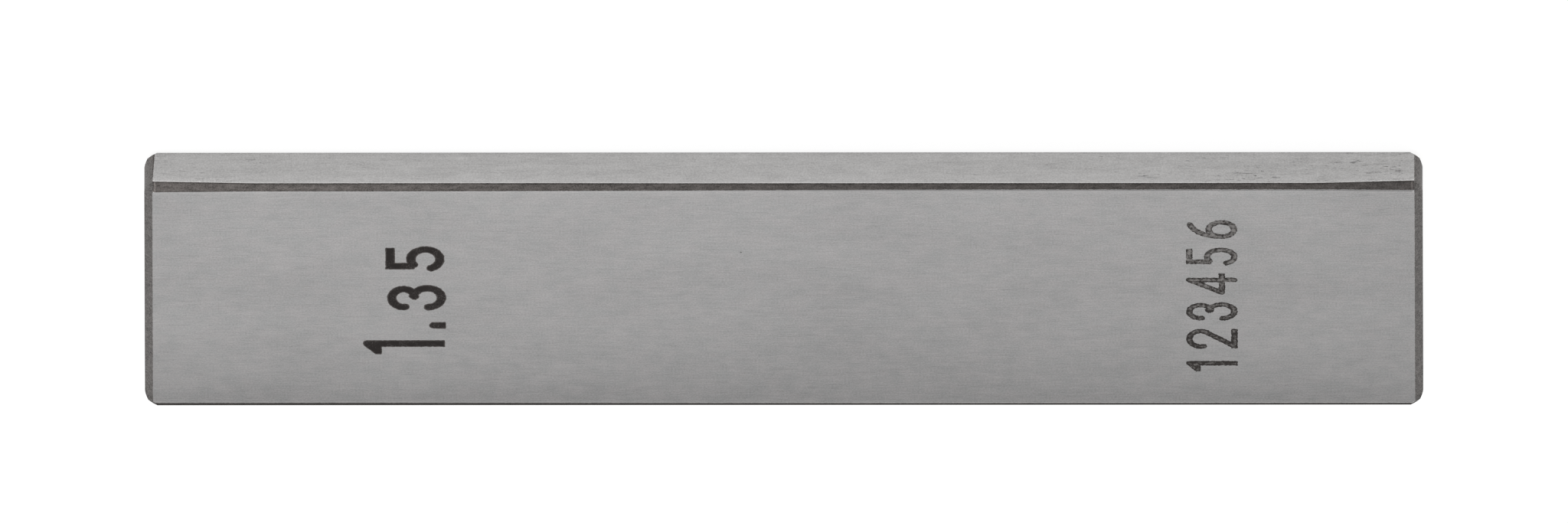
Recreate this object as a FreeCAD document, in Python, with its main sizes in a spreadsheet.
"""Rectangular gauge block: one lapped steel slip, lying on one of its two measuring faces.

The block is one solid. Its gauging size is its thickness, between the two large lapped faces.
Every edge is broken with a stone, the way such blocks are dressed after lapping:

- the two ends have a full-width chamfer on each measuring face;
- the long edges have a shallower chamfer;
- on the front edge of the marked face, the stone widened (dubbed) that chamfer towards both ends;
- the four upright corners are cut back to narrow crowned facets, sharp where they leave the sides;
- the eight points where three of these cuts would meet are taken off by a small flat facet.

The length lies along X, the width along Y, and the gauging size along Z. The origin is at the
middle of the lower measuring face. Millimetres.
"""

import FreeCAD, Part
import math
import os

import Sketcher

NODE = "gauge_block"

# The driving dimensions. A run is measured in the measuring face, a drop down the side or the end.
SIZES = {
    "block_length": 35.0,  # long side of the standard 35 by 9 section
    "block_width": 8.9,  # short side: 9 nominal, made 0.05 to 0.2 under
    "gauging_size": 1.35,  # the size that the block stands for
    "end_chamfer_run": 0.22,
    "end_chamfer_drop": 0.24,
    "side_chamfer_run": 0.19,
    "side_chamfer_drop": 0.09,
    "dubbed_run": 0.225,  # the front upper chamfer where it reaches the ends
    "dubbed_drop": 0.17,
    "dubbing_length": 3.0,
    "upright_cut_along": 0.22,  # how far an upright corner is cut back along X
    "upright_cut_across": 0.45,  # and along Y
    "upright_crown_radius": 0.7,
    "point_facet_along": 0.48,  # where a point facet's plane meets the bare block's three edges
    "point_facet_across": 0.48,
    "point_facet_down": 0.32,
}

HALF_LENGTH = "sizes.block_length / 2"
HALF_WIDTH = "sizes.block_width / 2"
HALF_SIZE = "sizes.gauging_size / 2"


def make_sheet(doc):
    """The spreadsheet that holds the driving dimensions, one named cell each."""
    sheet = doc.addObject("Spreadsheet::Sheet", "sizes")
    for row, (alias, value) in enumerate(SIZES.items(), start=1):
        sheet.set(f"A{row}", alias)
        sheet.set(f"B{row}", str(value))
        sheet.setAlias(f"B{row}", alias)
    doc.recompute()


def origin_plane(body, role):
    """One of the body's own origin planes."""
    return next(plane for plane in body.Origin.OriginFeatures if plane.Role == role)


def new_sketch(body, name, role, offset=None, turned=False):
    """A sketch on one of the body's origin planes, moved along its normal by an expression.

    A turned sketch faces the other way: its first axis and its normal are both reversed.
    """
    sketch = body.newObject("Sketcher::SketchObject", name)
    sketch.AttachmentSupport = (origin_plane(body, role), "")
    sketch.MapMode = "FlatFace"
    sketch.MapReversed = turned
    if offset:
        sketch.setExpression(".AttachmentOffset.Base.z", offset)
    return sketch


def start(curve):
    """A curve's first point, as Sketcher's constraints name it."""
    return (curve, 1)


def end(curve):
    """A curve's last point, as Sketcher's constraints name it."""
    return (curve, 2)


def sketch_origin():
    """The sketch's own origin: the first point of its horizontal axis."""
    return start(-1)


def constrain(sketch, kind, *places):
    """One constraint with no size of its own."""
    sketch.addConstraint(Sketcher.Constraint(kind, *places))


def mirror_points(sketch, one, other, axis):
    """Keep two points alike on both sides of the sketch's "x" or "y" axis."""
    constrain(sketch, "Symmetric", *one, *other, {"x": -1, "y": -2}[axis])


def dimension(sketch, name, kind, places, expression):
    """A named size in a sketch, bound to the sheet."""
    size = sketch.evalExpression(expression)
    sketch.addConstraint(Sketcher.Constraint(kind, *places, size))
    sketch.renameConstraint(sketch.ConstraintCount - 1, name)
    sketch.setExpression(f"Constraints.{name}", expression)


def join_in_ring(sketch, count):
    """Join a sketch's first curves end to start, and the last one to the first."""
    for curve in range(count):
        constrain(sketch, "Coincident", *end(curve), *start((curve + 1) % count))


def crowned_arc(first, last, radius):
    """An arc of the given radius, anticlockwise from one point to another."""
    chord = last - first
    half_chord = chord.Length / 2
    rise = radius - math.sqrt(radius**2 - half_chord**2)
    outward = FreeCAD.Vector(chord.y, -chord.x, 0).normalize()
    return Part.Arc(first, (first + last) / 2 + outward * rise, last)


def draw_plan(sketch):
    """The block seen from above: four sides, joined by four crowned corners.

    The curves run anticlockwise from the side at -Y, with a corner after each side.
    """
    half_length, half_width = (sketch.evalExpression(text) for text in (HALF_LENGTH, HALF_WIDTH))
    along = sketch.evalExpression("sizes.upright_cut_along")
    across = sketch.evalExpression("sizes.upright_cut_across")
    radius = sketch.evalExpression("sizes.upright_crown_radius")
    side_x = half_length - along
    end_y = half_width - across
    points = [
        FreeCAD.Vector(x, y, 0)
        for x, y in (
            (-side_x, -half_width),
            (side_x, -half_width),
            (half_length, -end_y),
            (half_length, end_y),
            (side_x, half_width),
            (-side_x, half_width),
            (-half_length, end_y),
            (-half_length, -end_y),
        )
    ]
    for number in range(0, len(points), 2):
        first, second = points[number : number + 2]
        following = points[(number + 2) % len(points)]
        sketch.addGeometry(Part.LineSegment(first, second))
        sketch.addGeometry(crowned_arc(second, following, radius))
    join_in_ring(sketch, len(points))

    near_side, corner, right_end, far_corner, far_side, back_corner, left_end, left_corner = range(8)
    mirror_points(sketch, start(near_side), end(near_side), "y")
    mirror_points(sketch, start(far_side), end(far_side), "y")
    mirror_points(sketch, start(right_end), end(left_end), "y")
    mirror_points(sketch, end(right_end), start(left_end), "y")
    mirror_points(sketch, end(near_side), start(far_side), "x")
    mirror_points(sketch, start(right_end), end(right_end), "x")
    for other in (far_corner, back_corner, left_corner):
        constrain(sketch, "Equal", corner, other)
    length_ends = (*start(left_end), *end(right_end))
    width_ends = (*end(near_side), *start(far_side))
    corner_ends = (*start(corner), *end(corner))
    dimension(sketch, "length", "DistanceX", length_ends, "sizes.block_length")
    dimension(sketch, "width", "DistanceY", width_ends, "sizes.block_width")
    dimension(sketch, "cut_along", "DistanceX", corner_ends, "sizes.upright_cut_along")
    dimension(sketch, "cut_across", "DistanceY", corner_ends, "sizes.upright_cut_across")
    dimension(sketch, "crown", "Radius", (corner,), "sizes.upright_crown_radius")


def draw_corner_triangle(sketch, reach, height, run, drop):
    """A right triangle in a corner of the bare block. Reach and height place its right angle;
    run goes back from it along the sketch's first axis, and drop along its second."""
    x, y, back, down = (sketch.evalExpression(text) for text in (reach, height, run, drop))
    square_corner = FreeCAD.Vector(x, y, 0)
    run_point = FreeCAD.Vector(x - back, y, 0)
    drop_point = FreeCAD.Vector(x, y - down, 0)
    sketch.addGeometry(Part.LineSegment(run_point, square_corner))
    sketch.addGeometry(Part.LineSegment(square_corner, drop_point))
    sketch.addGeometry(Part.LineSegment(drop_point, run_point))
    run_line, drop_line, slope = range(3)
    join_in_ring(sketch, 3)
    constrain(sketch, "Horizontal", run_line)
    constrain(sketch, "Vertical", drop_line)
    dimension(sketch, "reach", "DistanceX", (*sketch_origin(), *end(run_line)), reach)
    dimension(sketch, "height", "DistanceY", (*sketch_origin(), *end(run_line)), height)
    dimension(sketch, "run", "DistanceX", (*start(run_line), *end(run_line)), run)
    dimension(sketch, "drop", "DistanceY", (*start(slope), *start(drop_line)), drop)


def add_blank(body):
    """The bare block, centred on the body's origin."""
    plan = new_sketch(body, "plan", "XY_Plane")
    draw_plan(plan)
    blank = body.newObject("PartDesign::Pad", "blank")
    blank.Profile = plan
    blank.Midplane = True
    blank.setExpression("Length", "sizes.gauging_size")


def add_chamfer(body, name, role, reach, run, drop):
    """A straight chamfer on one edge of the marked face, cut by a triangle across the plane."""
    section = new_sketch(body, f"{name}_section", role)
    draw_corner_triangle(section, reach, HALF_SIZE, run, drop)
    chamfer = body.newObject("PartDesign::Pocket", name)
    chamfer.Profile = section
    chamfer.Type = "ThroughAll"
    chamfer.Midplane = True
    return chamfer


def add_end_chamfer(body):
    """The chamfer across one end, on one measuring face."""
    run, drop = "sizes.end_chamfer_run", "sizes.end_chamfer_drop"
    return add_chamfer(body, "end_chamfer", "XZ_Plane", HALF_LENGTH, run, drop)


def add_side_chamfer(body):
    """The chamfer along one side, on one measuring face."""
    run, drop = "sizes.side_chamfer_run", "sizes.side_chamfer_drop"
    return add_chamfer(body, "side_chamfer", "YZ_Plane", HALF_WIDTH, run, drop)


def add_point_facet(body):
    """The facet that takes off one point of the block: a three-sided pyramid is cut away."""
    base = new_sketch(body, "point_facet_base", "XY_Plane", HALF_SIZE)
    along, across = "sizes.point_facet_along", "sizes.point_facet_across"
    draw_corner_triangle(base, HALF_LENGTH, HALF_WIDTH, along, across)
    tip = new_sketch(body, "point_facet_tip", "XY_Plane", f"{HALF_SIZE} - sizes.point_facet_down")
    x, y = (tip.evalExpression(text) for text in (HALF_LENGTH, HALF_WIDTH))
    tip_point = tip.addGeometry(Part.Point(FreeCAD.Vector(x, y, 0)))
    dimension(tip, "reach", "DistanceX", (*sketch_origin(), *start(tip_point)), HALF_LENGTH)
    dimension(tip, "height", "DistanceY", (*sketch_origin(), *start(tip_point)), HALF_WIDTH)
    facet = body.newObject("PartDesign::SubtractiveLoft", "point_facet")
    facet.Profile = base
    facet.Sections = [(tip, ["Vertex1"])]
    facet.Ruled = True
    return facet


def mirror_everywhere(body, cuts):
    """The same cuts at both ends, along both sides and on both measuring faces."""
    everywhere = body.newObject("PartDesign::MultiTransform", "all_edges")
    everywhere.Originals = cuts
    mirrors = []
    for role in ("YZ_Plane", "XZ_Plane", "XY_Plane"):
        mirror = body.newObject("PartDesign::Mirrored", f"across_{role.lower()}")
        mirror.MirrorPlane = (origin_plane(body, role), [""])
        mirrors.append(mirror)
    everywhere.Transformations = mirrors
    body.Tip = everywhere


def add_dubbing(doc, body):
    """The slivers by which the front upper chamfer widens towards both ends."""
    stations = {
        "dubbing_start": (
            f"{HALF_LENGTH} - sizes.dubbing_length",
            "sizes.side_chamfer_run",
            "sizes.side_chamfer_drop",
        ),
        "dubbing_end": (HALF_LENGTH, "sizes.dubbed_run", "sizes.dubbed_drop"),
    }
    sections = []
    for name, (station, run, drop) in stations.items():
        section = new_sketch(body, name, "YZ_Plane", station, turned=True)
        draw_corner_triangle(section, HALF_WIDTH, HALF_SIZE, run, drop)
        sections.append(section)
    dubbing = body.newObject("PartDesign::SubtractiveLoft", "dubbing")
    dubbing.Profile = sections[0]
    dubbing.Sections = sections[1:]
    dubbing.Ruled = True
    doc.recompute()
    other_end = body.newObject("PartDesign::Mirrored", "dubbing_at_other_end")
    other_end.Originals = [dubbing]
    other_end.MirrorPlane = (origin_plane(body, "YZ_Plane"), [""])
    body.Tip = other_end


def make_block(doc):
    """The gauge block, raised to stand on its lower measuring face."""
    body = doc.addObject("PartDesign::Body", NODE)
    body.Label = NODE
    add_blank(body)
    cuts = [add_end_chamfer(body), add_side_chamfer(body), add_point_facet(body)]
    doc.recompute()
    mirror_everywhere(body, cuts)
    doc.recompute()
    add_dubbing(doc, body)
    body.setExpression(".Placement.Base.z", HALF_SIZE)
    doc.recompute()
    return body


def check(doc, part):
    """Stop if an object failed, a sketch is left loose, or the part isn't one valid solid."""
    for item in doc.Objects:
        faults = {"Invalid", "Error"} & set(item.State)
        if faults:
            raise RuntimeError(f"{item.Label} is {', '.join(sorted(faults))}")
        if item.TypeId == "Sketcher::SketchObject" and not item.FullyConstrained:
            raise RuntimeError(f"{item.Label} isn't fully constrained")
    shape = part.Shape
    if shape.isNull() or not shape.isValid():
        raise RuntimeError(f"{part.Label} has no valid shape")
    if len(shape.Solids) != 1:
        raise RuntimeError(f"{part.Label} has {len(shape.Solids)} solids in place of one")


doc = FreeCAD.newDocument("gauge_block_model")
make_sheet(doc)
block = make_block(doc)
check(doc, block)

os.makedirs("parts", exist_ok=True)
block.Shape.exportStep(f"parts/{block.Label}.step")
box = block.Shape.BoundBox
print(f"{block.Label}: {box.XLength:.3f} x {box.YLength:.3f} x {box.ZLength:.3f} mm")
print(f"volume {block.Shape.Volume:.3f} mm3, {len(block.Shape.Faces)} faces")
